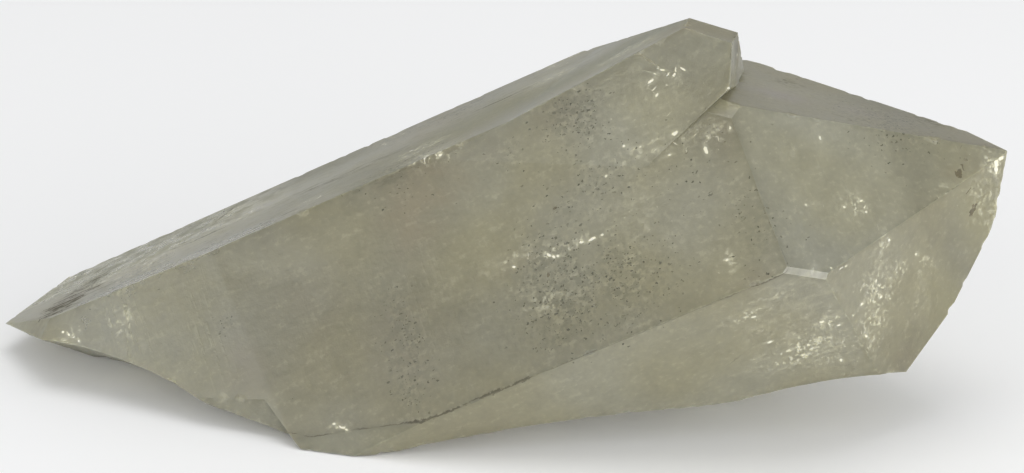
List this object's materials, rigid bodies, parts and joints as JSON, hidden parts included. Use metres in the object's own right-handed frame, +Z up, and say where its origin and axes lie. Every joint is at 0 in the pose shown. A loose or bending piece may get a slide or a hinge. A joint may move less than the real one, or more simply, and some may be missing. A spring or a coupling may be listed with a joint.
{
  "type": "quartz crystal",
  "caption": "Hexagonal quartz crystal lying on its broken underside, with a pointed right end, a wedge-shaped left end and a stepped parallel overgrowth.",
  "frame": {"origin": "middle of the footprint of the bounding box, on the surface that the crystal lies on", "axes": "+X along the crystal's length, towards its pointed end; +Y away from the broad front face; +Z up"},
  "size_m": [0.126, 0.058, 0.049],
  "materials": {
    "quartz": "glassy grey-olive crystal faces, half clear, with pale veils and brown stains inside"
  },
  "bodies": {
    "root": {"quartz_crystal": "quartz"}
  },
  "joints": []
}
